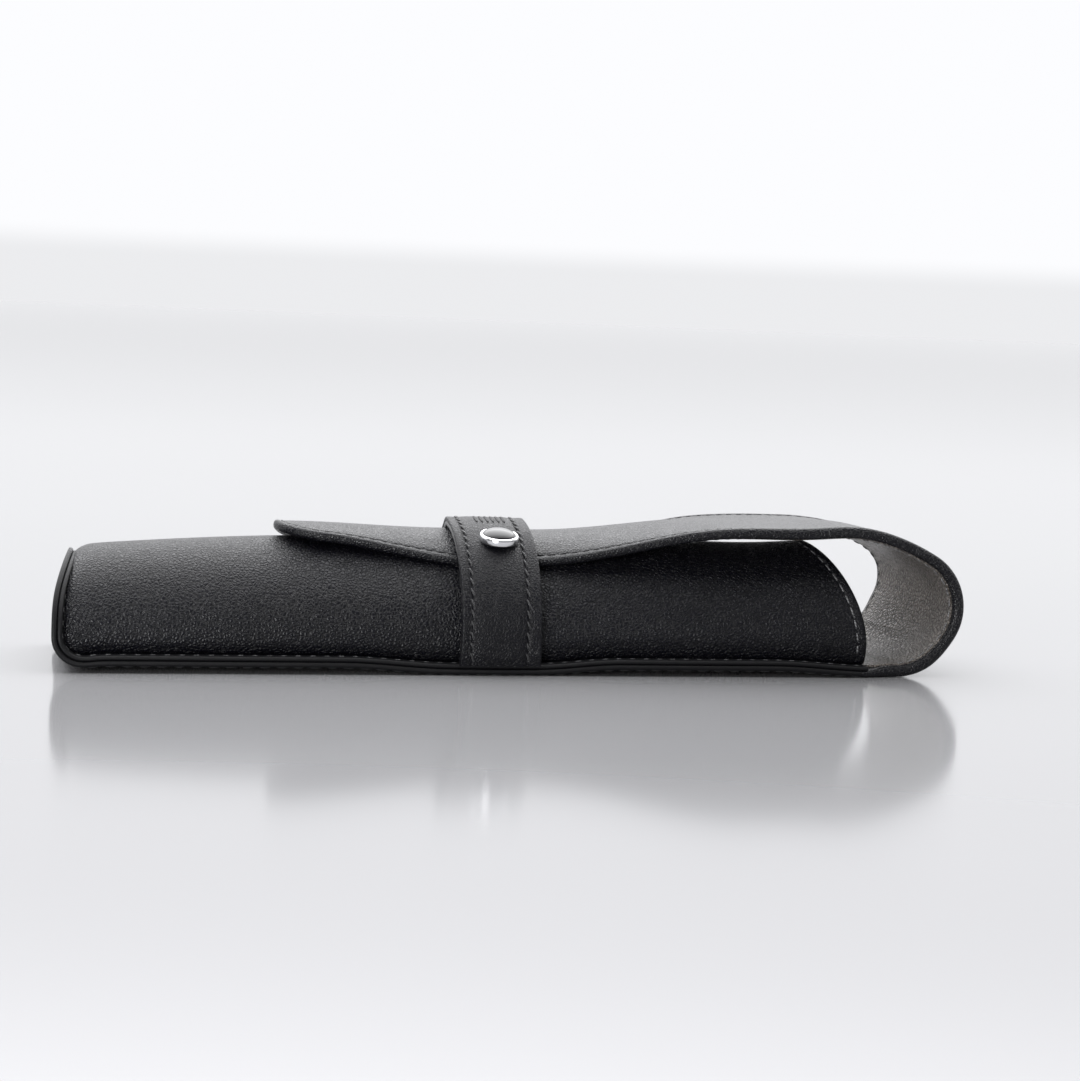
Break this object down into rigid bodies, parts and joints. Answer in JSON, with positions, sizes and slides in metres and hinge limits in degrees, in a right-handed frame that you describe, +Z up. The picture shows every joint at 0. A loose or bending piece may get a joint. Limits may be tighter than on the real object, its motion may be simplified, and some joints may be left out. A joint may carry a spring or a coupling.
{
  "type": "fountain pen case",
  "caption": "Moulded leather case for a single fountain pen, with a long flap that folds over the mouth and tucks under a keeper strap with a domed stud.",
  "frame": {"origin": "centre of the bounding box in plan, at the lowest point: the case lies on its back on z = 0", "axes": "+X along the case from the closed end to the mouth and the fold, +Y across it, +Z up through the keeper and flap"},
  "size_m": [0.1725, 0.041, 0.0292],
  "materials": {
    "leather": "smooth black calf leather, semi-gloss",
    "lining": "matt grained brown-grey lining leather",
    "board": "matt leather board",
    "thread": "waxed black thread",
    "stud_metal": "polished",
    "stud_lacquer": "high gloss black resin"
  },
  "bodies": {
    "case": {"back_leather": "leather", "back_board": "board", "end_board": "board", "back_lining": "lining", "shell_leather": "leather", "shell_board": "board", "shell_lining": "lining", "rim_stitching": "thread", "mouth_stitching": "thread", "keeper_leather": "leather", "keeper_backing": "leather", "keeper_stitching": "thread", "stud_bezel": "stud_metal", "stud_dome": "stud_lacquer", "stud_post": "stud_metal", "stud_washer": "stud_metal"},
    "fold_low": {"loop_low_leather": "leather", "loop_low_lining": "lining", "loop_low_stitching": "thread"},
    "fold_mid": {"loop_mid_leather": "leather", "loop_mid_lining": "lining", "loop_mid_stitching": "thread"},
    "fold_top": {"loop_top_leather": "leather", "loop_top_lining": "lining", "loop_top_stitching": "thread"},
    "flap": {"flap_leather": "leather", "flap_board": "board", "flap_lining": "lining", "flap_stitching": "thread"}
  },
  "joints": [
    {"name": "fold_shift", "type": "slide", "parent": "case", "child": "fold_low", "axis": [1, 0, 0], "range_m": [0, 0.026], "deforming": ["loop_low_leather", "loop_low_lining", "loop_low_stitching", "flap_leather", "flap_board", "flap_lining", "flap_stitching"]},
    {"name": "flap_open", "type": "hinge", "parent": "fold_low", "child": "fold_mid", "pos_m": [0.08108, 0, 0.00466], "axis": [0, 1, 0], "range_deg": [0, 86], "deforming": ["loop_mid_leather", "loop_mid_lining", "loop_mid_stitching"]},
    {"name": "loop_unroll", "type": "hinge", "parent": "fold_mid", "child": "fold_top", "pos_m": [0.08152, 0, 0.02028], "axis": [0, 1, 0], "range_deg": [0, 86], "deforming": ["loop_top_leather", "loop_top_lining", "loop_top_stitching"]},
    {"name": "flap_draw", "type": "slide", "parent": "fold_top", "child": "flap", "axis": [1, 0, 0], "range_m": [0, 0.026]}
  ],
  "couplings": [
    {"joint": "loop_unroll", "follows": "flap_open", "ratio": 1},
    {"joint": "flap_draw", "follows": "fold_shift", "ratio": 1}
  ]
}
